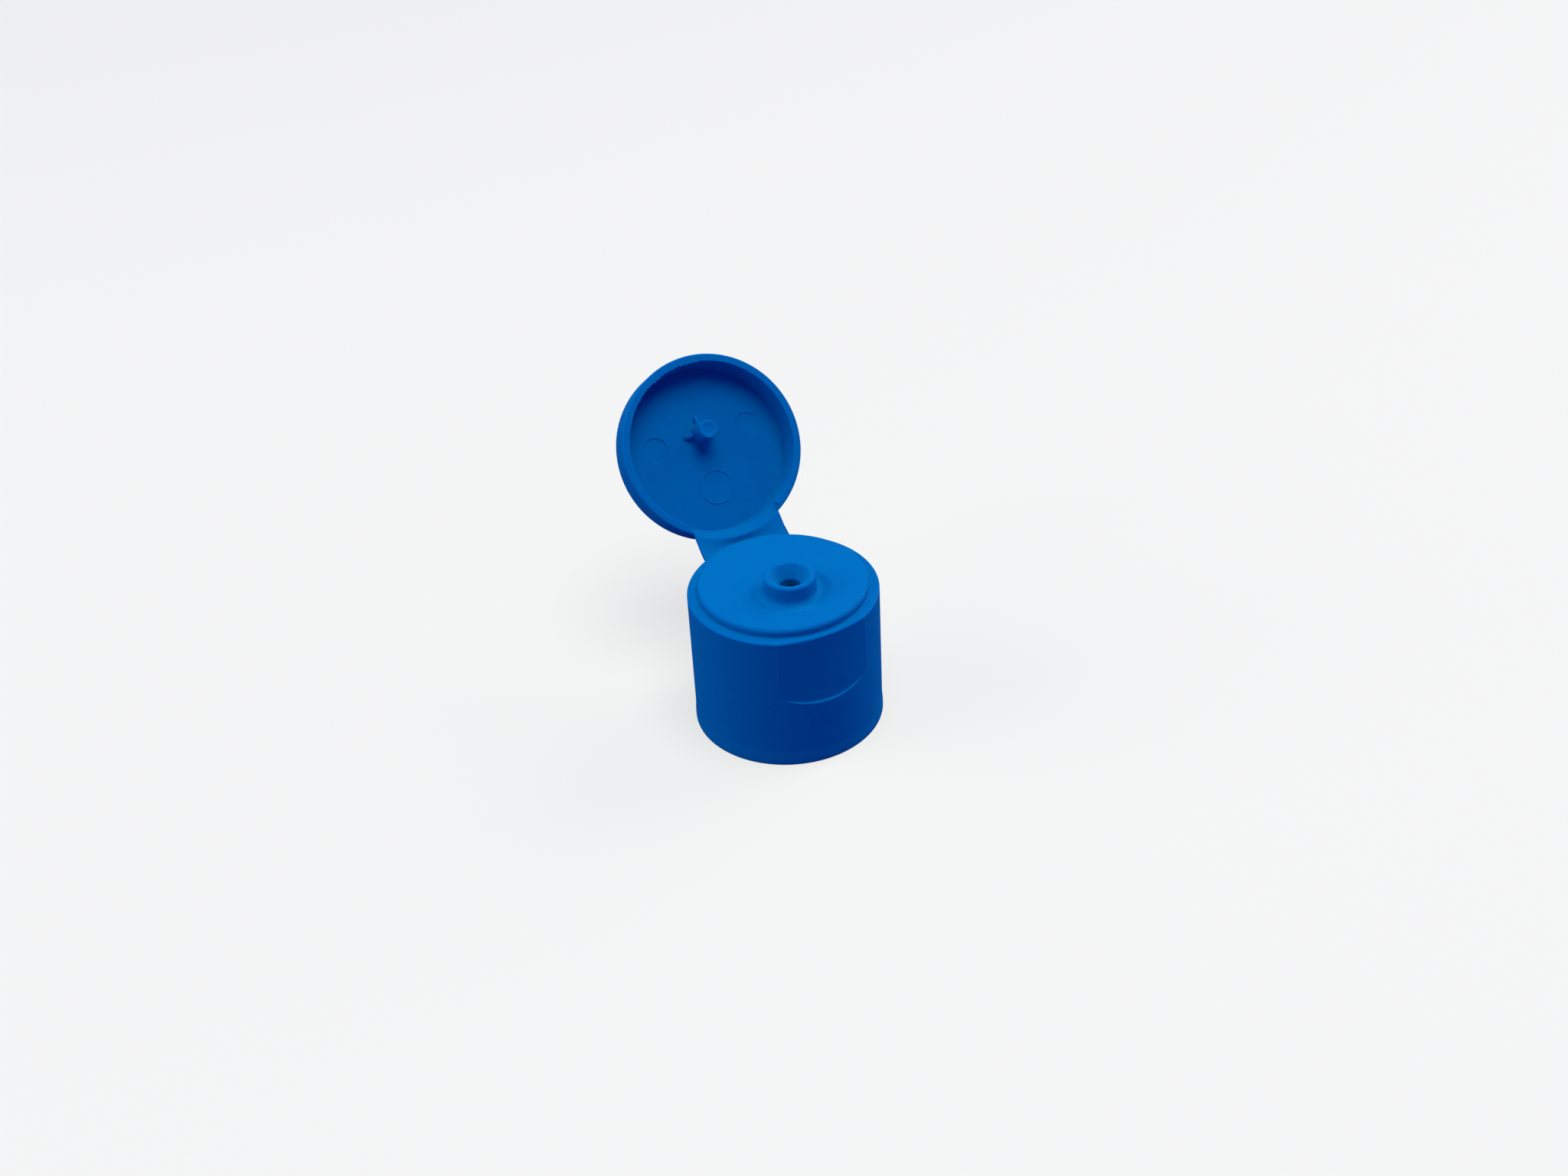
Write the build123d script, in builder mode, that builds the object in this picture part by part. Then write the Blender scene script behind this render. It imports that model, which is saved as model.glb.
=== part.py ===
from build123d import *
from math import asin, degrees, sqrt
import os

# One-piece injection-moulded flip-top closure, standing with its lid swung open
# Millimetres, +Z up, origin at the centre of the base, hinge at the back (+Y), thumb recess in front (-Y)

# Skirt, round the socket for a 24 mm screw neck
socket_diameter = 24.2
socket_chamfer = 0.4
skirt_wall = 1.9
body_height = 21.7
rim_chamfer = 0.25
land_height = 1.0
land_proud = 0.1

# Deck: a platform raised inside a ledge, hollow beneath, with a ring that seals on the neck's end
ledge_width = 1.5
platform_height = 1.3
platform_round = 0.6
deck_thickness = 1.4
shoulder_width = 0.7
shoulder_drop = 1.3
seal_inset = 2.3
seal_height = 1.2
seal_root = 0.8
seal_tip = 0.3

# Pouring nozzle, standing in a shallow dish in front of the middle
nozzle_offset = 2.5
nozzle_height = 2.5
nozzle_draft = 0.15
nozzle_flare = 0.45
lip_diameter = 7.5
lip_chamfer = 0.25
mouth_diameter = 5.9
mouth_depth = 1.85
throat_diameter = 3.1
relief_diameter = 5.2
relief_depth = 0.9
dish_diameter = 11.6
dish_slope = 0.9
dish_depth = 0.3

# Thumb recess, open at the rim, with a bowed lower edge
recess_width = 13.8
recess_depth = 0.58
recess_floor = 10.65
recess_bow = 1.3
recess_corner = 1.6

# Lid, measured from its rim
lid_height = 5.3
lid_draft = 0.2
lid_rim_chamfer = 0.3
lid_top_round = 0.9
lid_top_thickness = 1.1
lid_floor_chamfer = 0.25
lid_wall_draft = 0.42
platform_clearance = 0.37
seat_gap = 0.05

# Sealing pin on the lid's floor, with its gussets
pin_proud = 0.4
pin_tip_diameter = 2.4
pin_root_diameter = 3.2
pin_dimple_diameter = 1.4
pin_dimple_depth = 0.3
gusset_count = 4
gusset_reach = 2.7
gusset_height = 1.6
gusset_thickness = 0.5

# Living hinge: one thin strap between the two rims, and the line that the lid turns about
hinge_out = 0.4
hinge_rise = 0.5
open_angle = 127.0
strap_width = 13.9
strap_thickness = 0.5
film_thickness = 0.3
film_width = 0.35
strap_clearance = 0.02
strap_stations = 9

# Loose allowance by which a cutting shape runs past what it cuts
overrun = 1.0

socket_radius = socket_diameter / 2
rim_radius = socket_radius + skirt_wall
land_radius = rim_radius + land_proud
platform_radius = rim_radius - ledge_width
platform_top = body_height + platform_height
ceiling_radius = socket_radius - shoulder_width
ceiling = platform_top - deck_thickness
shoulder = ceiling - shoulder_drop
seal_radius = socket_radius - seal_inset

lip_radius = lip_diameter / 2
mouth_radius = mouth_diameter / 2
throat_radius = throat_diameter / 2
relief_radius = relief_diameter / 2
dish_radius = dish_diameter / 2
dish_floor = platform_top - dish_depth
lip_top = platform_top + nozzle_height
throat_top = lip_top - mouth_depth
relief_top = ceiling + relief_depth
nozzle_plane = Plane.XZ.offset(nozzle_offset)
nozzle_axis = Axis(nozzle_plane.origin, (0, 0, 1))

# The recess floor is an upright arc, flatter than the wall, that meets the wall at the recess's two sides
recess_half = recess_width / 2
recess_side = sqrt(rim_radius**2 - recess_half**2)
recess_front = rim_radius - recess_depth
recess_sagitta = recess_front - recess_side
recess_radius = (recess_half**2 + recess_sagitta**2) / (2 * recess_sagitta)
bow_radius = (recess_half**2 + recess_bow**2) / (2 * recess_bow)

lid_radius = rim_radius - lid_draft
lid_depth = lid_height - lid_top_thickness
lid_mouth_radius = platform_radius + platform_clearance
lid_floor_radius = lid_mouth_radius - lid_wall_draft
pin_tip_radius = pin_tip_diameter / 2
pin_root_radius = pin_root_diameter / 2
pin_dimple_radius = pin_dimple_diameter / 2

# The lid's own planes: x to the right, y to the hinge, z to the closed end, swung back from the shut place
hinge_line = Location((0, rim_radius + hinge_out, body_height + hinge_rise))
swing = hinge_line * Rotation(-open_angle, 0, 0) * hinge_line.inverse()
lid_plane = Plane(swing * Location((0, 0, body_height + seat_gap)))
lid_section = Plane(origin=lid_plane.origin, x_dir=lid_plane.x_dir, z_dir=-lid_plane.y_dir)
lid_axis = Axis(lid_plane.origin, lid_plane.z_dir)
pin_section = lid_section.offset(nozzle_offset)
pin_axis = Axis(pin_section.origin, lid_plane.z_dir)
pin_base = lid_plane.location * Location((0, -nozzle_offset, lid_depth))


def corner(sketch, x, y):
    """The sketch's corner nearest to x, y, for a fillet or a chamfer."""
    return sketch.vertices().sort_by_distance((x, y))[0]


# Thumb recess, as the piece of air that it takes out of the skirt
with BuildPart() as thumb_recess:
    with BuildSketch(Plane.XZ.offset(recess_side - overrun)) as recess_outline:
        with Locations((0, recess_floor)):
            Rectangle(recess_width, body_height, align=(Align.CENTER, Align.MIN))
        with Locations((0, recess_floor + bow_radius)):
            Circle(bow_radius, mode=Mode.INTERSECT)
        fillet(recess_outline.vertices().group_by(Axis.Y)[0], recess_corner)
    extrude(amount=rim_radius - recess_side + 2 * overrun)
    with Locations((0, recess_radius - recess_front, body_height)):
        Cylinder(recess_radius, 2 * body_height, mode=Mode.SUBTRACT)

with BuildPart() as cap_body:
    # Skirt, deck and platform, turned about the neck's axis
    with BuildSketch(Plane.XZ) as shell:
        with BuildLine():
            Polyline(
                (socket_radius, 0),
                (land_radius, 0),
                (land_radius, land_height),
                (rim_radius, land_height + land_proud),
                (rim_radius, body_height),
                (platform_radius, body_height),
                (platform_radius, platform_top),
                (0, platform_top),
                (0, ceiling),
                (ceiling_radius, ceiling),
                (ceiling_radius, shoulder),
                (socket_radius, shoulder),
                close=True,
            )
        make_face()
        chamfer(corner(shell, socket_radius, 0), socket_chamfer)
        chamfer(corner(shell, rim_radius, body_height), rim_chamfer)
        fillet(corner(shell, platform_radius, platform_top), platform_round)
    revolve(axis=Axis.Z)

    # Tapered ring that seals on the neck's end
    with BuildSketch(Plane.XZ):
        with BuildLine():
            Polyline(
                (seal_radius - seal_root / 2, ceiling),
                (seal_radius + seal_root / 2, ceiling),
                (seal_radius + seal_tip / 2, ceiling - seal_height),
                (seal_radius - seal_tip / 2, ceiling - seal_height),
                close=True,
            )
        make_face()
    revolve(axis=Axis.Z)

    # Dish round the nozzle
    with BuildSketch(nozzle_plane):
        with BuildLine():
            Polyline(
                (0, dish_floor),
                (dish_radius - dish_slope, dish_floor),
                (dish_radius, platform_top),
                (0, platform_top),
                close=True,
            )
        make_face()
    revolve(axis=nozzle_axis, mode=Mode.SUBTRACT)

    # Nozzle wall, flared at its root
    with BuildSketch(nozzle_plane):
        with BuildLine():
            Polyline(
                (0, dish_floor),
                (lip_radius + nozzle_draft + nozzle_flare, dish_floor),
                (lip_radius + nozzle_draft, dish_floor + nozzle_flare),
                (lip_radius, lip_top - lip_chamfer),
                (lip_radius - lip_chamfer, lip_top),
                (0, lip_top),
                close=True,
            )
        make_face()
    revolve(axis=nozzle_axis)

    # Funnel mouth, throat and the relief under it
    with BuildSketch(nozzle_plane):
        with BuildLine():
            Polyline(
                (0, ceiling),
                (relief_radius, ceiling),
                (relief_radius, relief_top),
                (throat_radius, relief_top),
                (throat_radius, throat_top),
                (mouth_radius, lip_top),
                (0, lip_top),
                close=True,
            )
        make_face()
    revolve(axis=nozzle_axis, mode=Mode.SUBTRACT)

    add(thumb_recess.part, mode=Mode.SUBTRACT)

cap_body.part.label = "cap_body"

# One gusset of the sealing pin, standing on z = 0 and reaching down from it
with BuildPart() as gusset:
    with BuildSketch(Plane.XZ):
        with BuildLine():
            Polyline(
                (0, 0),
                (gusset_reach, 0),
                (pin_tip_radius, -gusset_height),
                (0, -gusset_height),
                close=True,
            )
        make_face()
    extrude(amount=gusset_thickness / 2, both=True)

with BuildPart() as lid:
    # Cup turned about the lid's axis, with an inner wall that clears the platform
    with BuildSketch(lid_section) as cup:
        with BuildLine():
            Polyline(
                (lid_mouth_radius, 0),
                (rim_radius, 0),
                (lid_radius, lid_height),
                (0, lid_height),
                (0, lid_depth),
                (lid_floor_radius, lid_depth),
                close=True,
            )
        make_face()
        chamfer(corner(cup, rim_radius, 0), lid_rim_chamfer)
        chamfer(corner(cup, lid_floor_radius, lid_depth), lid_floor_chamfer)
        fillet(corner(cup, lid_radius, lid_height), lid_top_round)
    revolve(axis=lid_axis)

    # Sealing pin, tapered, with a dimple in its end
    with BuildSketch(pin_section):
        with BuildLine():
            Polyline(
                (0, pin_dimple_depth - pin_proud),
                (pin_dimple_radius, -pin_proud),
                (pin_tip_radius, -pin_proud),
                (pin_root_radius, lid_depth),
                (0, lid_depth),
                close=True,
            )
        make_face()
    revolve(axis=pin_axis)

    with Locations(pin_base):
        with PolarLocations(0, gusset_count):
            add(gusset.part)

lid.part.label = "lid"

# Hinge strap: a sheet from rim to rim, one section for each place across it, thinned to a film at both ends
half_span = degrees(asin(strap_width / 2 / rim_radius))
strap_radius = rim_radius + strap_clearance
film_drop = Vector(0, 0, -film_thickness)
film_rise = lid_plane.z_dir * film_thickness

with BuildPart() as hinge_strap:
    for station in range(strap_stations):
        bearing = half_span * (2 * station / (strap_stations - 1) - 1)
        rim_point = Vector(0, strap_radius, 0).rotate(Axis.Z, bearing)
        at_body = rim_point + Vector(0, 0, body_height)
        at_lid = lid_plane.from_local_coords(rim_point)
        along = (at_lid - at_body).normalized()
        under = along.cross(Vector(-1, 0, 0)) * (film_thickness - strap_thickness)
        outline = [
            at_body,
            at_lid,
            at_lid + film_rise,
            at_lid + film_rise + under - along * film_width,
            at_body + film_drop + under + along * film_width,
            at_body + film_drop,
        ]
        with BuildSketch(Plane.YZ.offset(rim_point.X)):
            with BuildLine():
                Polyline(*[(point.Y, point.Z) for point in outline], close=True)
            make_face()
    loft()

hinge_strap.part.label = "hinge_strap"

os.makedirs("parts", exist_ok=True)
export_step(cap_body.part, "parts/cap_body.step")
export_step(lid.part, "parts/lid.step")
export_step(hinge_strap.part, "parts/hinge_strap.step")
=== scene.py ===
import math

import bmesh
import bpy
import numpy as np
from mathutils import Matrix, Vector


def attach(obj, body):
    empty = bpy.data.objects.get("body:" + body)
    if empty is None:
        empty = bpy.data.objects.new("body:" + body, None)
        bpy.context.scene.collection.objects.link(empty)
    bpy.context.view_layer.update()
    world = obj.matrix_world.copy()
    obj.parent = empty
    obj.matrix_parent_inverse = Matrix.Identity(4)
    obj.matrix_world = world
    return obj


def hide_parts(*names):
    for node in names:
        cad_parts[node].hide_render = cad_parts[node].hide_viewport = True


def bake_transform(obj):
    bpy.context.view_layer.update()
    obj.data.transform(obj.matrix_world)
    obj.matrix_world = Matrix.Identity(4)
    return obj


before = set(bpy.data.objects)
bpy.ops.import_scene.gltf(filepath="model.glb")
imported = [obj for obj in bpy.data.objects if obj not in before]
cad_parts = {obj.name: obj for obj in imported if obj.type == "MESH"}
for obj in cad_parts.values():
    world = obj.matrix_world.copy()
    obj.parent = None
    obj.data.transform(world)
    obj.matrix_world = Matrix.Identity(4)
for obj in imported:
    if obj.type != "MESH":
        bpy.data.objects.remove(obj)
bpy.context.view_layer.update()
scene = bpy.context.scene

# Cap body: screw skirt, deck, platform and pouring nozzle in one shell of blue polypropylene.
# It is injection moulded in one shot with the lid and the strap, with a fine satin grain from the mould.
# Sizes are in millimetres from the middle of the base; the mesh is scaled to metres when it is made.
MM = 0.001
RIM_RADIUS = 14.0
LAND_RADIUS = 14.1
BODY_HEIGHT = 21.7
PLATFORM_RADIUS = 12.5
PLATFORM_TOP = 23.0
SOCKET_RADIUS = 12.1
SOCKET_CHAMFER = 0.4
NOZZLE_OFFSET = 2.5
NOZZLE_TOP = 25.5
NOZZLE_ROOT_RADIUS = 3.92
LIP_RADIUS = 3.75
MOUTH_RADIUS = 2.95
THROAT_RADIUS = 1.55
THROAT_TOP = 23.65
RELIEF_RADIUS = 2.6
RELIEF_TOP = 22.5
DISH_RADIUS = 5.9
DISH_FLOOR_RADIUS = 4.9
DISH_FLOOR = 22.7
CEILING = 21.6
CEILING_RADIUS = 11.4
SHOULDER = 20.3
SEAL_END = 20.4

# Corners of the body's section: radius, height, rounding, and 1 where it is turned about the nozzle's axis
BASE_CORNERS = [
    (SOCKET_RADIUS + SOCKET_CHAMFER, 0.0, 0.1, 0),
    (LAND_RADIUS, 0.0, 0.15, 0),
    (LAND_RADIUS, 0.8, 0.5, 0),
    (RIM_RADIUS, 2.4, 1.0, 0),
]
DECK_CORNERS = [
    (RIM_RADIUS, BODY_HEIGHT, 0.3, 0),
    (PLATFORM_RADIUS, BODY_HEIGHT, 0.2, 0),
    (PLATFORM_RADIUS, PLATFORM_TOP, 0.6, 0),
    (DISH_RADIUS, PLATFORM_TOP, 1.2, 1),
    (DISH_FLOOR_RADIUS, DISH_FLOOR, 0.7, 1),
    (NOZZLE_ROOT_RADIUS, DISH_FLOOR, 0.8, 1),
    (LIP_RADIUS, NOZZLE_TOP, 0.42, 1),
    (MOUTH_RADIUS, NOZZLE_TOP, 0.38, 1),
    (THROAT_RADIUS, THROAT_TOP, 0.3, 1),
    (THROAT_RADIUS, RELIEF_TOP, 0.1, 1),
    (RELIEF_RADIUS, RELIEF_TOP, 0.1, 1),
    (RELIEF_RADIUS, CEILING, 0.12, 1),
    (9.4, CEILING, 0.15, 0),
    (9.65, SEAL_END, 0.08, 0),
    (9.95, SEAL_END, 0.08, 0),
    (10.2, CEILING, 0.15, 0),
    (CEILING_RADIUS, CEILING, 0.3, 0),
    (CEILING_RADIUS, SHOULDER, 0.12, 0),
    (SOCKET_RADIUS, SHOULDER, 0.15, 0),
    (SOCKET_RADIUS, SOCKET_CHAMFER, 0.1, 0),
]

# How finely a rounding is drawn, in degrees, and how close to it the held points stand
ROUNDING_STEP = 12
HOLD_DISTANCE = 0.08
HOLD_SHARE = 0.2


def softened(corners, first, last):
    """Section points with every corner rounded, and a point beside each rounding to keep flats flat."""
    points = []
    ends = [first, *corners, last]
    for before, here, after in zip(ends, corners, ends[2:]):
        place = np.array(here[:2], float)
        back = np.array(before[:2], float) - place
        ahead = np.array(after[:2], float) - place
        back_length = np.linalg.norm(back)
        ahead_length = np.linalg.norm(ahead)
        back = back / back_length
        ahead = ahead / ahead_length
        half = math.acos(float(np.clip(back @ ahead, -1, 1))) / 2
        reach = here[2] / math.tan(half)
        middle = place + (back + ahead) / np.linalg.norm(back + ahead) * here[2] / math.sin(half)
        start = place + back * reach - middle
        sweep = math.pi - 2 * half
        side = -1 if back[0] * ahead[1] - back[1] * ahead[0] > 0 else 1
        steps = max(2, math.ceil(math.degrees(sweep) / ROUNDING_STEP))
        hold = reach + min(HOLD_DISTANCE, HOLD_SHARE * (back_length - reach))
        points.append((*(place + back * hold), here[3]))
        for step in range(steps + 1):
            turn = side * sweep * step / steps
            swung = (
                start[0] * math.cos(turn) - start[1] * math.sin(turn),
                start[0] * math.sin(turn) + start[1] * math.cos(turn),
            )
            points.append((middle[0] + swung[0], middle[1] + swung[1], here[3]))
        hold = reach + min(HOLD_DISTANCE, HOLD_SHARE * (ahead_length - reach))
        points.append((*(place + ahead * hold), here[3]))
    return points


def ring(radius, height, share, bearings):
    """One ring of points at each bearing, about the cap's axis or, at share 1, the nozzle's."""
    return np.stack(
        [
            radius * np.cos(bearings),
            radius * np.sin(bearings) - NOZZLE_OFFSET * share,
            height + 0 * bearings,
        ],
        axis=1,
    )


def shell_piece(name, rows, looped):
    """A closed shell over rows of points: the last row meets the first, or both ends close on a pole."""
    count, around = len(rows), len(rows[0])
    points = np.concatenate(rows)
    grid = np.arange(count * around).reshape(count, around)
    joined = np.vstack([grid, grid[:1]]) if looped else grid
    near = np.roll(joined, -1, axis=1)
    quads = np.stack([joined[:-1], near[:-1], near[1:], joined[1:]], axis=2).reshape(-1, 4)
    faces = quads.tolist()
    if not looped:
        first_pole, last_pole = len(points), len(points) + 1
        points = np.vstack([points, rows[0].mean(0), rows[-1].mean(0)])
        faces += [[first_pole, b, a] for a, b in zip(grid[0], np.roll(grid[0], -1))]
        faces += [[last_pole, a, b] for a, b in zip(grid[-1], np.roll(grid[-1], -1))]
    mesh = bpy.data.meshes.new(name)
    mesh.from_pydata((points * MM).tolist(), [], faces)
    shape = bmesh.new()
    shape.from_mesh(mesh)
    bmesh.ops.recalc_face_normals(shape, faces=shape.faces)
    shape.to_mesh(mesh)
    shape.free()
    piece = bpy.data.objects.new(name, mesh)
    scene.collection.objects.link(piece)
    return piece


def fuse(piece, tool, operation):
    """Adds the tool's solid to the piece or cuts it away, and leaves one closed mesh."""
    step = piece.modifiers.new("fuse", "BOOLEAN")
    step.operation = operation
    step.solver = "MANIFOLD"
    step.object = tool
    with bpy.context.temp_override(object=piece, active_object=piece):
        bpy.ops.object.modifier_apply(modifier=step.name)
    old = tool.data
    bpy.data.objects.remove(tool)
    bpy.data.meshes.remove(old)


def dress(piece, plastic, angle=28):
    """Gives the piece its plastic, smooth over the roundings and sharp where it really turns a corner."""
    piece.data.materials.clear()
    piece.data.materials.append(plastic)
    piece.data.shade_smooth()
    piece.data.set_sharp_from_angle(angle=math.radians(angle))


# The thumb recess: an upright arc flatter than the wall, over a bowed edge that rises into the wall.
# Its floor is drafted: at its foot it is a share of the full depth, which it reaches below the rim.
RECESS_HALF = 6.9
RECESS_RADIUS = 19.84
RECESS_CENTRE = 6.42
RECESS_FLOOR = 10.65
RECESS_CORNER = 1.6
BOW_RADIUS = 18.96
FOOT_SHARE = 0.58
DRAFT_ROWS = [(13.4, 0.7), (17.0, 0.85), (20.4, 1.0)]
LEDGE_HEIGHT = 0.24
LEDGE_SHARES = (-0.25, 0.0, 0.08, 0.18, 0.3, 0.42, 0.54, 0.66, 0.78, 0.88, 0.96, 1.05)
BEAD_HEIGHT = 0.06
BEAD_WIDTH = 0.4
RECESS_INSIDE_RIM = 13.2
SKIRT_ROW = 6.0

# Bearings in degrees: the front, the step round a ring, and the start of the recess's rounded corners
FRONT = 270
BEARING_STEP = 1.5
BEARING_GAP = 0.12
CORNER_BEARING = 19
recess_reach = math.degrees(math.asin(RECESS_HALF / RIM_RADIUS))


def bearings_about(step, fine_spans):
    """Bearings round a ring, with finer ones inside each span of (from, to, step) in degrees."""
    found = list(np.arange(0, 360, step))
    for low, high, fine in fine_spans:
        found += list(np.arange(low, high + fine / 2, fine) % 360)
    found = sorted(found)
    kept = [found[0]]
    for bearing in found[1:]:
        if bearing - kept[-1] > BEARING_GAP:
            kept.append(bearing)
    return np.radians(kept)


recess_spans = [
    (FRONT - recess_reach - 1, FRONT - CORNER_BEARING, 0.5),
    (FRONT + CORNER_BEARING, FRONT + recess_reach + 1, 0.5),
    (FRONT - recess_reach - 1.2, FRONT - recess_reach + 1.2, 0.2),
    (FRONT + recess_reach - 1.2, FRONT + recess_reach + 1.2, 0.2),
]
body_bearings = bearings_about(BEARING_STEP, recess_spans)
bearing_x = RIM_RADIUS * np.cos(body_bearings)
sine = np.sin(body_bearings)
cosine = np.cos(body_bearings)
flat_arc = RECESS_CENTRE * sine + np.sqrt(RECESS_RADIUS**2 - (RECESS_CENTRE * cosine) ** 2)
in_recess = (sine < 0) & (abs(bearing_x) < RECESS_HALF)
dent = np.where(in_recess, np.minimum(flat_arc - RIM_RADIUS, 0), 0)
across = np.clip(abs(bearing_x), 0, RECESS_HALF)
bow = RECESS_FLOOR + BOW_RADIUS - np.sqrt(BOW_RADIUS**2 - across**2)
corner_x = RECESS_HALF - RECESS_CORNER
corner_z = RECESS_FLOOR + BOW_RADIUS - math.sqrt((BOW_RADIUS - RECESS_CORNER) ** 2 - corner_x**2)
corner_start = corner_x * BOW_RADIUS / (BOW_RADIUS - RECESS_CORNER)
rounded_corner = corner_z - np.sqrt(np.clip(RECESS_CORNER**2 - (across - corner_x) ** 2, 0, None))
recess_edge = np.where(across > corner_start, rounded_corner, bow)

base_section = softened(BASE_CORNERS, DECK_CORNERS[-1], DECK_CORNERS[0])
rows = [ring(radius, height, 0, body_bearings) for radius, height, _ in base_section]
rows.append(ring(RIM_RADIUS, SKIRT_ROW, 0, body_bearings))
from_side = abs(abs(np.degrees(body_bearings) - FRONT) - recess_reach)
side_bead = BEAD_HEIGHT * np.exp(-((from_side / BEAD_WIDTH) ** 2))
for share in LEDGE_SHARES:
    fall = min(max(share, 0), 1)
    eased = fall**2 * (3 - 2 * fall)
    edge_height = recess_edge + LEDGE_HEIGHT * (share - 0.5)
    rows.append(ring(RIM_RADIUS + dent * FOOT_SHARE * eased, edge_height, 0, body_bearings))
for height, share in DRAFT_ROWS:
    rows.append(ring(RIM_RADIUS + dent * share + side_bead, height, 0, body_bearings))
below_rim = (RIM_RADIUS, DRAFT_ROWS[-1][0], 0, 0)
for radius, height, share in softened(DECK_CORNERS, below_rim, BASE_CORNERS[0]):
    recessed = dent if radius > RECESS_INSIDE_RIM else 0
    rows.append(ring(radius + recessed, height, share, body_bearings))
cap_body = shell_piece("dressed_cap_body", rows, True)

# The screw thread: one and three quarter turns of a rounded ridge in the skirt, faded out at both ends
THREAD_PITCH = 3.175
THREAD_START = 9.2
THREAD_START_BEARING = 200
THREAD_TURNS = 1.75
THREAD_CREST = 11.2
THREAD_STATIONS = 168
THREAD_ROOT_SINK = 0.3
CREST_ROUNDING = 0.02
FADES_PER_TURN = 9
thread_rows = []
for station in range(THREAD_STATIONS + 1):
    along = station / THREAD_STATIONS
    turn = 2 * math.pi * THREAD_TURNS * along + math.radians(THREAD_START_BEARING)
    rise = THREAD_START + THREAD_PITCH * THREAD_TURNS * along
    fade = min(1, along * THREAD_TURNS * FADES_PER_TURN, (1 - along) * THREAD_TURNS * FADES_PER_TURN)
    crest = SOCKET_RADIUS - (SOCKET_RADIUS - THREAD_CREST) * math.sin(fade * math.pi / 2)
    inner = crest - CREST_ROUNDING
    sunk = SOCKET_RADIUS + THREAD_ROOT_SINK
    section = [(sunk, -0.75), (SOCKET_RADIUS, -0.7), (inner + 0.12, -0.36), (inner, -0.24)]
    section += [(inner, 0.2), (inner + 0.12, 0.32), (SOCKET_RADIUS, 0.66), (sunk, 0.7)]
    thread_rows.append(np.array([(r * math.cos(turn), r * math.sin(turn), rise + z) for r, z in section]))
thread = shell_piece("thread_ridge", thread_rows, False)
fuse(cap_body, thread, "UNION")


def satin_moulding():
    """Group for a satin moulding: fine grain for bump, cloudy colour, and roughness that wanders."""
    group = bpy.data.node_groups.new("satin_moulding", "ShaderNodeTree")
    sockets = group.interface
    sockets.new_socket("Colour", in_out="INPUT", socket_type="NodeSocketColor")
    sockets.new_socket("Deep colour", in_out="INPUT", socket_type="NodeSocketColor")
    amounts = {"Grain scale": 5200.0, "Cloud scale": 260.0, "Roughness": 0.5, "Spread": 0.08}
    for label, value in amounts.items():
        amount = sockets.new_socket(label, in_out="INPUT", socket_type="NodeSocketFloat")
        amount.default_value = value
    sockets.new_socket("Colour", in_out="OUTPUT", socket_type="NodeSocketColor")
    sockets.new_socket("Roughness", in_out="OUTPUT", socket_type="NodeSocketFloat")
    sockets.new_socket("Height", in_out="OUTPUT", socket_type="NodeSocketFloat")
    nodes, links = group.nodes, group.links
    given = nodes.new("NodeGroupInput")
    result = nodes.new("NodeGroupOutput")
    place = nodes.new("ShaderNodeTexCoord")
    grain = nodes.new("ShaderNodeTexNoise")
    grain.inputs["Detail"].default_value = 3
    grain.inputs["Roughness"].default_value = 0.6
    cloud = nodes.new("ShaderNodeTexNoise")
    cloud.inputs["Detail"].default_value = 4
    links.new(place.outputs["Object"], grain.inputs["Vector"])
    links.new(place.outputs["Object"], cloud.inputs["Vector"])
    links.new(given.outputs["Grain scale"], grain.inputs["Scale"])
    links.new(given.outputs["Cloud scale"], cloud.inputs["Scale"])
    tint = nodes.new("ShaderNodeMix")
    tint.data_type = "RGBA"
    links.new(cloud.outputs["Fac"], tint.inputs["Factor"])
    links.new(given.outputs["Colour"], tint.inputs["A"])
    links.new(given.outputs["Deep colour"], tint.inputs["B"])
    wander = nodes.new("ShaderNodeMath")
    wander.operation = "MULTIPLY_ADD"
    links.new(grain.outputs["Fac"], wander.inputs[0])
    links.new(given.outputs["Spread"], wander.inputs[1])
    links.new(given.outputs["Roughness"], wander.inputs[2])
    links.new(tint.outputs["Result"], result.inputs["Colour"])
    links.new(wander.outputs["Value"], result.inputs["Roughness"])
    links.new(grain.outputs["Fac"], result.inputs["Height"])
    return group


def blue_polypropylene(name, moulding, colour, deep_colour, bump_height):
    """Satin blue polypropylene: dense pigment, a weak sheen, and the mould's grain as bump."""
    material = bpy.data.materials.new(name)
    material.use_nodes = True
    nodes, links = material.node_tree.nodes, material.node_tree.links
    shader = nodes["Principled BSDF"]
    finish = nodes.new("ShaderNodeGroup")
    finish.node_tree = moulding
    finish.inputs["Colour"].default_value = colour
    finish.inputs["Deep colour"].default_value = deep_colour
    bump = nodes.new("ShaderNodeBump")
    bump.inputs["Strength"].default_value = 0.35
    bump.inputs["Distance"].default_value = bump_height
    links.new(finish.outputs["Height"], bump.inputs["Height"])
    links.new(finish.outputs["Colour"], shader.inputs["Base Color"])
    links.new(finish.outputs["Roughness"], shader.inputs["Roughness"])
    links.new(bump.outputs["Normal"], shader.inputs["Normal"])
    shader.inputs["IOR"].default_value = 1.49
    shader.inputs["Specular IOR Level"].default_value = 0.03
    shader.inputs["Specular Tint"].default_value = (0.0, 0.6, 1.0, 1)
    shader.inputs["Subsurface Weight"].default_value = 0.6
    shader.inputs["Subsurface Scale"].default_value = 0.0009
    shader.inputs["Subsurface Radius"].default_value = (0.1, 0.35, 1.0)
    return material


moulding = satin_moulding()
PP_BLUE = (0.0, 0.195, 0.475, 1)
PP_DEEP_BLUE = (0.0, 0.18, 0.45, 1)
body_plastic = blue_polypropylene("blue_polypropylene", moulding, PP_BLUE, PP_DEEP_BLUE, 0.00002)
dress(cap_body, body_plastic)
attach(cap_body, "body")
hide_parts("cap_body")

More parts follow.
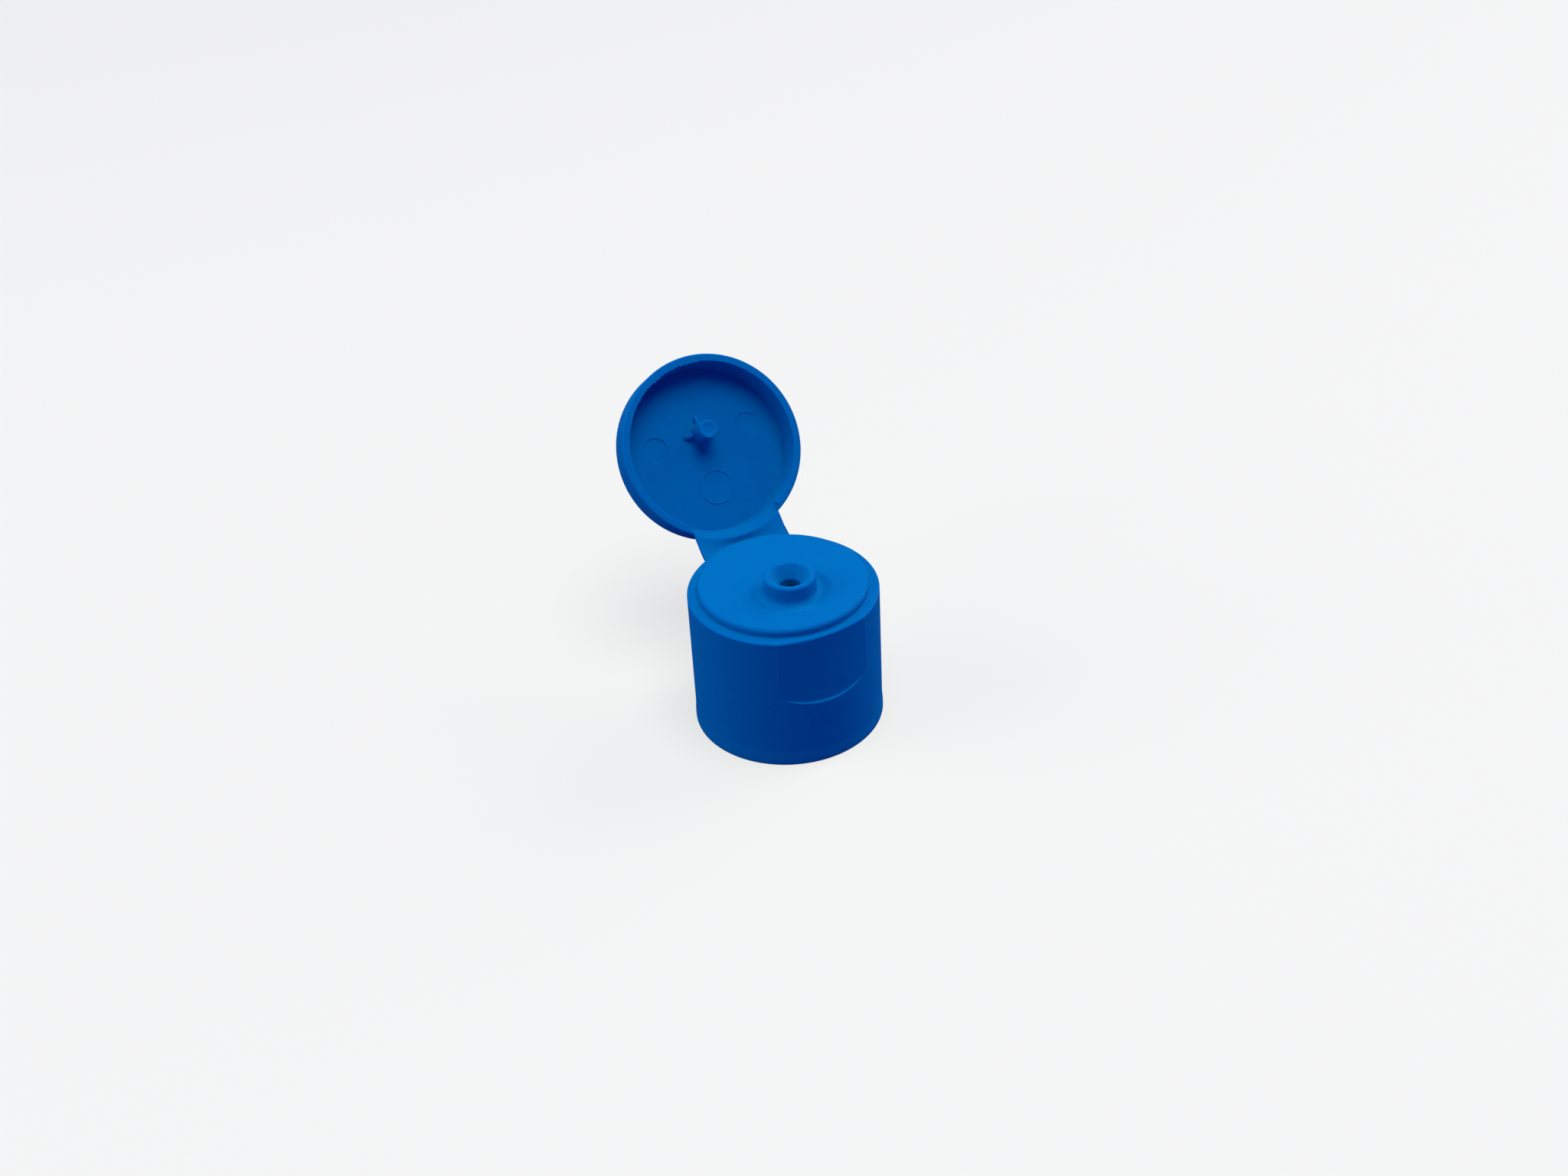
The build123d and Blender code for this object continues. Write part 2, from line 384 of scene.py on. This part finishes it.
# Lid: a shallow cup of the same plastic, with a drafted wall that clears the platform and a sealing pin.
# It is moulded open with the body, and hangs from the strap, swung back here from its shut place.
# Its section is given from the plane of its rim towards its closed end, and swung about the hinge line.
HINGE_LINE = Vector((0, 14.4, 22.2))
OPEN_ANGLE = 127.0
SEAT_GAP = 0.05
LID_HEIGHT = 5.3
LID_DEPTH = 4.2
LID_TOP_RADIUS = 13.8
LID_MOUTH_RADIUS = 12.87
LID_FLOOR_RADIUS = 12.45
PIN_ROOT_RADIUS = 1.6
PIN_TIP_RADIUS = 1.38
PIN_TIP = -0.4
DIMPLE_RADIUS = 1.0
DIMPLE_FLOOR_RADIUS = 0.6
DIMPLE_FLOOR = -0.27
LID_CORNERS = [
    (LID_TOP_RADIUS, LID_HEIGHT, 0.9, 0),
    (RIM_RADIUS, 0.0, 0.25, 0),
    (LID_MOUTH_RADIUS, 0.0, 0.08, 0),
    (LID_FLOOR_RADIUS, LID_DEPTH, 0.12, 0),
    (PIN_ROOT_RADIUS, LID_DEPTH, 0.7, 1),
    (PIN_TIP_RADIUS, PIN_TIP, 0.12, 1),
    (DIMPLE_RADIUS, PIN_TIP, 0.3, 1),
    (DIMPLE_FLOOR_RADIUS, DIMPLE_FLOOR, 0.3, 1),
]
swing = (
    Matrix.Translation(HINGE_LINE)
    @ Matrix.Rotation(math.radians(-OPEN_ANGLE), 4, "X")
    @ Matrix.Translation(-HINGE_LINE)
    @ Matrix.Translation((0, 0, BODY_HEIGHT + SEAT_GAP))
)


def swung_open(points):
    """Points of the lid's own section, moved to where the open lid stands."""
    turn = np.array(swing.to_3x3())
    return points @ turn.T + np.array(swing.translation)


# Torn flash along the inner edge of the rim: small uneven teeth between two bearings, and one nick
FLASH_FROM = 239.0
FLASH_TO = 279.0
FLASH_REACH = 0.27
FLASH_TEETH = 11
FLASH_SEED = 7
FLASH_BAND = (12.7, 13.1)
FLASH_BELOW = 0.11
NICK_BEARING = 226.8
NICK_HALF_WIDTH = 0.9
NICK_SHARE = 0.7
flash_span = (FLASH_FROM - 14, FLASH_TO + 2, 0.3)
relief_sides = [(55, 63, 0.25), (117, 125, 0.25)]
lid_bearings = bearings_about(BEARING_STEP, [flash_span, *relief_sides])
degrees_round = np.degrees(lid_bearings)
tooth = (degrees_round - FLASH_FROM) / (FLASH_TO - FLASH_FROM) * FLASH_TEETH
tooth_height = np.random.default_rng(FLASH_SEED).uniform(0.35, 1.0, FLASH_TEETH + 2)
tooth_number = np.clip(np.floor(tooth).astype(int), 0, FLASH_TEETH + 1)
in_flash = (tooth > 0) & (tooth < FLASH_TEETH)
saw = np.where(in_flash, tooth_height[tooth_number] * (1 - (tooth % 1)) ** 0.7, 0)
nick = np.clip(1 - abs(degrees_round - NICK_BEARING) / NICK_HALF_WIDTH, 0, 1)
flash = FLASH_REACH * (saw * np.clip(tooth, 0, 1) + NICK_SHARE * nick)

# Across the strap the rim is relieved: it slopes from deep inside the mouth up to the outer edge
RELIEF_HALF = 6.9
RELIEF_SIDE = 0.15
RELIEF_INNER = 1.15
RELIEF_OUTER = 0.3
RELIEF_BELOW = 0.7
RELIEF_FROM = 12.5
TOP_ROWS = (2.0, 8.0)
rim_width = RIM_RADIUS - LID_MOUTH_RADIUS
lid_rows = [ring(radius, LID_HEIGHT, 0, lid_bearings) for radius in TOP_ROWS]
section_start = (TOP_ROWS[-1], LID_HEIGHT, 0, 0)
section_end = (0.0, DIMPLE_FLOOR, 0, 1)
for radius, height, share in softened(LID_CORNERS, section_start, section_end):
    at_inner_edge = FLASH_BAND[0] < radius < FLASH_BAND[1] and height < FLASH_BELOW
    row = ring(radius - (flash if at_inner_edge else 0), height, share, lid_bearings)
    if share == 0 and height < RELIEF_BELOW and radius > RELIEF_FROM:
        across_strap = np.clip((RELIEF_HALF - abs(row[:, 0])) / RELIEF_SIDE + 0.5, 0, 1)
        relieved = across_strap * (row[:, 1] > 0)
        outward = min(max((radius - LID_MOUTH_RADIUS) / rim_width, 0), 1)
        row[:, 2] += relieved * (RELIEF_INNER + (RELIEF_OUTER - RELIEF_INNER) * outward)
    lid_rows.append(row)
lid = shell_piece("dressed_lid", [swung_open(row) for row in lid_rows], False)

# Four small gussets that brace the pin on the lid's floor. The outline gives the reach from the pin's
# axis and the depth under the floor's plane; each slice of it has its place across and how far it shrinks.
GUSSET_OUTLINE = [(0.5, 0.2), (2.95, 0.2), (2.85, -0.08), (2.6, -0.4)]
GUSSET_OUTLINE += [(2.25, -0.75), (1.8, -1.0), (1.4, -1.1), (0.5, -1.1)]
GUSSET_SLICES = [(-0.48, 0.4), (-0.4, 0.18), (-0.22, 0.0), (0.22, 0.0), (0.4, 0.18), (0.48, 0.4)]
for quarter in range(4):
    turn = math.radians(90 * quarter)
    turned = Matrix.Translation((0, -NOZZLE_OFFSET, 0)) @ Matrix.Rotation(turn, 4, "Z")
    fin = []
    for y, shrink in GUSSET_SLICES:
        corners = [Vector((x - shrink, y, LID_DEPTH + z + shrink)) for x, z in GUSSET_OUTLINE]
        fin.append(np.array([turned @ point for point in corners]))
    gusset = shell_piece("gusset", [swung_open(row) for row in fin], False)
    fuse(lid, gusset, "UNION")

# Marks on the lid's floor: two round ejector marks, sunk a little, and a plain raised ring.
# Sections are radius and height from the floor's plane, where a negative height stands proud of it.
EJECTOR_PLACES = [(-7.57, -1.88), (7.57, -1.88)]
EJECTOR_SECTION = [(1.94, -0.4), (1.94, 0.0), (1.82, 0.13)]
RING_PLACE = (0, 5.89)
RING_SECTION = [(2.7, 0.15), (2.7, 0.0), (2.63, -0.12), (2.5, -0.12), (2.43, 0.0), (2.43, 0.15)]


def floor_mark(name, section, place, step, looped):
    """A round tool standing at a place on the lid's floor, turned from its section."""
    bearings = np.radians(np.arange(0, 360, step))
    offset = np.array((*place, 0))
    rows = [ring(radius, LID_DEPTH + height, 0, bearings) + offset for radius, height in section]
    return shell_piece(name, [swung_open(row) for row in rows], looped)


for place in EJECTOR_PLACES:
    fuse(lid, floor_mark("ejector_mark", EJECTOR_SECTION, place, 7.5, False), "DIFFERENCE")
fuse(lid, floor_mark("ring_mark", RING_SECTION, RING_PLACE, 5, True), "UNION")

dress(lid, body_plastic)
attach(lid, "lid")
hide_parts("lid")

# Living hinge: one thin strap between the two rims, of the same plastic and moulded with them.
# It is thinned to a film along both ends, where it bends, and is a little dished between them.
# It leaves the body level, bends up to the slope of the lid's relief, and is sunk a little in both rims.
STRAP_HALF_WIDTH = 6.95
STRAP_RADIUS = 14.02
STRAP_THICKNESS = 0.5
FILM_THICKNESS = 0.3
STRAP_SINK = 0.4
STRAP_BEND = 0.36
STRAP_DISH = 0.1
EDGE_ROUNDING = 0.1
EDGE_SHARE = 0.02
BEND_STEPS = 20
RELIEF_DIRECTION = (0, -0.8, 0.6)
BODY_OVERLAP = 0.01
LID_OVERLAP = 0.05
strap_across = sorted([*np.linspace(-1, 1, 57), -0.995, -0.985, 0.985, 0.995])
half_bearing = math.asin(STRAP_HALF_WIDTH / STRAP_RADIUS)
relief_slope = swung_open(np.array(RELIEF_DIRECTION)) - swung_open(np.zeros(3))
strap_rows = []
for across_share in strap_across:
    bearing = math.pi / 2 - half_bearing * across_share
    rim_x = STRAP_RADIUS * math.cos(bearing)
    rim_y = STRAP_RADIUS * math.sin(bearing)
    at_body = np.array((rim_x, rim_y, BODY_HEIGHT - BODY_OVERLAP))
    at_lid = swung_open(np.array((rim_x, rim_y - 0.02, RELIEF_OUTER - LID_OVERLAP)))
    out_of_body = at_body + np.array((0, STRAP_BEND, 0))
    into_lid = at_lid - relief_slope * STRAP_BEND
    edge = EDGE_ROUNDING * max(0, 1 - (1 - abs(across_share)) / EDGE_SHARE) ** 2
    into_body = np.array((0, -STRAP_SINK, 0))
    middle_line = [at_body + into_body, at_body + into_body / 2]
    for step in range(BEND_STEPS + 1):
        share = step / BEND_STEPS
        rest = 1 - share
        middle_line.append(
            at_body * rest**3 + out_of_body * 3 * rest**2 * share
            + into_lid * 3 * rest * share**2 + at_lid * share**3
        )
    middle_line += [at_lid + relief_slope * STRAP_SINK / 2, at_lid + relief_slope * STRAP_SINK]
    middle_line = np.array(middle_line)
    along = np.gradient(middle_line, axis=0)
    along /= np.linalg.norm(along, axis=1)[:, None]
    up = np.cross((1, 0, 0), along)
    share = np.linspace(0, 1, len(middle_line))
    dish = STRAP_DISH * np.sin(math.pi * share) ** 2 * abs(across_share) ** 1.5
    thick = FILM_THICKNESS + (STRAP_THICKNESS - FILM_THICKNESS) * np.sin(math.pi * share) ** 0.5
    top = middle_line - up * (edge + dish)[:, None]
    under = middle_line - up * (thick - edge + dish * 0.7)[:, None]
    strap_rows.append(np.vstack([top, under[::-1]]))
strap = shell_piece("dressed_hinge_strap", strap_rows, False)
dress(strap, body_plastic, 40)
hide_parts("hinge_strap")
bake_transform(strap)

# Studio: a pale seamless floor under soft lamps. The floor shows pale to the camera and keeps the cap's
# faint shadow, throws only a little light back up, and is clear when it is looked at from below.
FLOOR_HALF = 3
FLOOR_PALE = (0.944, 0.952, 0.865, 1)
FLOOR_BOUNCE = (0.06, 0.06, 0.24, 1)
floor_mesh = bpy.data.meshes.new("studio_floor")
floor_corners = [(x * FLOOR_HALF, y * FLOOR_HALF, 0) for x, y in ((-1, -1), (1, -1), (1, 1), (-1, 1))]
floor_mesh.from_pydata(floor_corners, [], [(0, 1, 2, 3)])
floor = bpy.data.objects.new("studio_floor", floor_mesh)
scene.collection.objects.link(floor)
floor_paper = bpy.data.materials.new("floor_paper")
floor_paper.use_nodes = True
nodes, links = floor_paper.node_tree.nodes, floor_paper.node_tree.links
nodes.remove(nodes["Principled BSDF"])
rays = nodes.new("ShaderNodeLightPath")
shaded = nodes.new("ShaderNodeBsdfDiffuse")
shaded.inputs["Color"].default_value = FLOOR_PALE
glow = nodes.new("ShaderNodeEmission")
glow.inputs["Color"].default_value = FLOOR_PALE
bounce = nodes.new("ShaderNodeBsdfDiffuse")
bounce.inputs["Color"].default_value = FLOOR_BOUNCE
seen = nodes.new("ShaderNodeMixShader")
seen.inputs["Fac"].default_value = 0.68
links.new(shaded.outputs["BSDF"], seen.inputs[1])
links.new(glow.outputs["Emission"], seen.inputs[2])
either = nodes.new("ShaderNodeMixShader")
links.new(rays.outputs["Is Camera Ray"], either.inputs["Fac"])
links.new(bounce.outputs["BSDF"], either.inputs[1])
links.new(seen.outputs["Shader"], either.inputs[2])
sides = nodes.new("ShaderNodeNewGeometry")
clear = nodes.new("ShaderNodeBsdfTransparent")
one_sided = nodes.new("ShaderNodeMixShader")
links.new(sides.outputs["Backfacing"], one_sided.inputs["Fac"])
links.new(either.outputs["Shader"], one_sided.inputs[1])
links.new(clear.outputs["BSDF"], one_sided.inputs[2])
links.new(one_sided.outputs["Shader"], nodes["Material Output"].inputs["Surface"])
floor_mesh.materials.append(floor_paper)

# Three round soft lamps: one almost overhead, and one at each side that stands a little behind the cap
LAMP_AIM = Vector((0, 0, 0.02))
LAMP_DISTANCE = 1.0
LAMP_SIZE = 0.7


def soft_lamp(name, azimuth, elevation, strength):
    """A lamp aimed at the cap, by angles in degrees and watts; azimuth 0 is in front, 90 to its right."""
    turn, tilt = math.radians(azimuth), math.radians(elevation)
    level = math.cos(tilt)
    towards = Vector((math.sin(turn) * level, -math.cos(turn) * level, math.sin(tilt)))
    lamp = bpy.data.lights.new(name, "AREA")
    lamp.shape = "DISK"
    lamp.size = LAMP_SIZE
    lamp.energy = strength
    holder = bpy.data.objects.new(name, lamp)
    holder.location = LAMP_AIM + towards * LAMP_DISTANCE
    holder.rotation_mode = "QUATERNION"
    holder.rotation_quaternion = (-towards).to_track_quat("-Z", "Y")
    scene.collection.objects.link(holder)


soft_lamp("overhead_lamp", 15, 78, 5.8)
soft_lamp("right_lamp", 98, 28, 3.4)
soft_lamp("left_lamp", 252, 28, 3.3)

# The room's air: a faint blue fill on the cap, and a plain pale backdrop to the camera
world = bpy.data.worlds.new("studio_air")
scene.world = world
world.use_nodes = True
nodes, links = world.node_tree.nodes, world.node_tree.links
air = nodes["Background"]
air.inputs["Color"].default_value = (0.25, 0.21, 1.0, 1)
air.inputs["Strength"].default_value = 0.42
backdrop = nodes.new("ShaderNodeBackground")
backdrop.inputs["Color"].default_value = (0.9, 0.905, 0.91, 1)
rays = nodes.new("ShaderNodeLightPath")
either = nodes.new("ShaderNodeMixShader")
links.new(rays.outputs["Is Camera Ray"], either.inputs["Fac"])
links.new(air.outputs["Background"], either.inputs[1])
links.new(backdrop.outputs["Background"], either.inputs[2])
links.new(either.outputs["Shader"], nodes["World Output"].inputs["Surface"])

# Camera: a long lens above the cap's left front, as the photograph was taken. Its place is in millimetres.
FOCAL_PIXELS = 2700
PICTURE_WIDTH = 2048
SENSOR_WIDTH = 36
camera_data = bpy.data.cameras.new("camera")
camera_data.sensor_fit = "HORIZONTAL"
camera_data.sensor_width = SENSOR_WIDTH
camera_data.lens = FOCAL_PIXELS / PICTURE_WIDTH * SENSOR_WIDTH
camera_data.clip_start = 0.01
camera_data.clip_end = 20
camera = bpy.data.objects.new("camera", camera_data)
CAMERA_PLACE = Vector((-100.784, -224.890, 192.635)) * MM
CAMERA_RIGHT = (0.89802962, -0.43758298, -0.04543052)
CAMERA_UP = (0.28353499, 0.49672089, 0.82029036)
CAMERA_BACK = (-0.33637882, -0.74952618, 0.57014016)
turn = Matrix((CAMERA_RIGHT, CAMERA_UP, CAMERA_BACK)).transposed()
camera.matrix_world = Matrix.Translation(CAMERA_PLACE) @ turn.to_4x4()
scene.collection.objects.link(camera)
scene.camera = camera
scene.view_settings.view_transform = "Standard"
